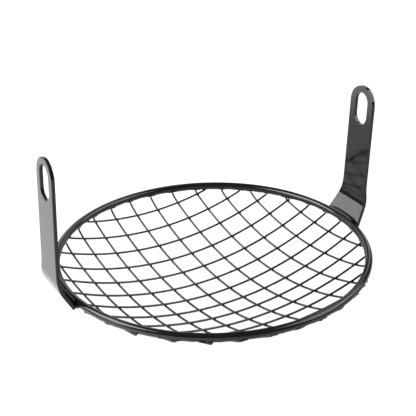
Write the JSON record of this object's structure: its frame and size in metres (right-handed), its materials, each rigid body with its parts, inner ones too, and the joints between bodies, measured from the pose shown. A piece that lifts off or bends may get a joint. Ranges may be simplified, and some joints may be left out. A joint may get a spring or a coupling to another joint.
{
  "type": "headlight grille",
  "caption": "Black round headlight grille for a motorbike: a rod ring, a dished welded wire mesh and two slotted flat brackets.",
  "frame": {"origin": "middle of the ring, on the plane through its rod's centre line", "axes": "+Z from the dish towards the headlamp, along the ring's axis; +X from the ring's middle to the right bracket"},
  "size_m": [0.211, 0.1894, 0.1114],
  "materials": {
    "black_powder_coat": "gloss powder coat over welded mild steel"
  },
  "bodies": {
    "root": {"ring": "black_powder_coat", "long_wire_01": "black_powder_coat", "long_wire_02": "black_powder_coat", "long_wire_03": "black_powder_coat", "long_wire_04": "black_powder_coat", "long_wire_05": "black_powder_coat", "long_wire_06": "black_powder_coat", "long_wire_07": "black_powder_coat", "long_wire_08": "black_powder_coat", "long_wire_09": "black_powder_coat", "long_wire_10": "black_powder_coat", "long_wire_11": "black_powder_coat", "long_wire_12": "black_powder_coat", "cross_wire_01": "black_powder_coat", "cross_wire_02": "black_powder_coat", "cross_wire_03": "black_powder_coat", "cross_wire_04": "black_powder_coat", "cross_wire_05": "black_powder_coat", "cross_wire_06": "black_powder_coat", "cross_wire_07": "black_powder_coat", "cross_wire_08": "black_powder_coat", "cross_wire_09": "black_powder_coat", "cross_wire_10": "black_powder_coat", "cross_wire_11": "black_powder_coat", "cross_wire_12": "black_powder_coat", "left_bracket": "black_powder_coat", "right_bracket": "black_powder_coat", "left_bracket_weld": "black_powder_coat", "right_bracket_weld": "black_powder_coat"}
  },
  "joints": []
}
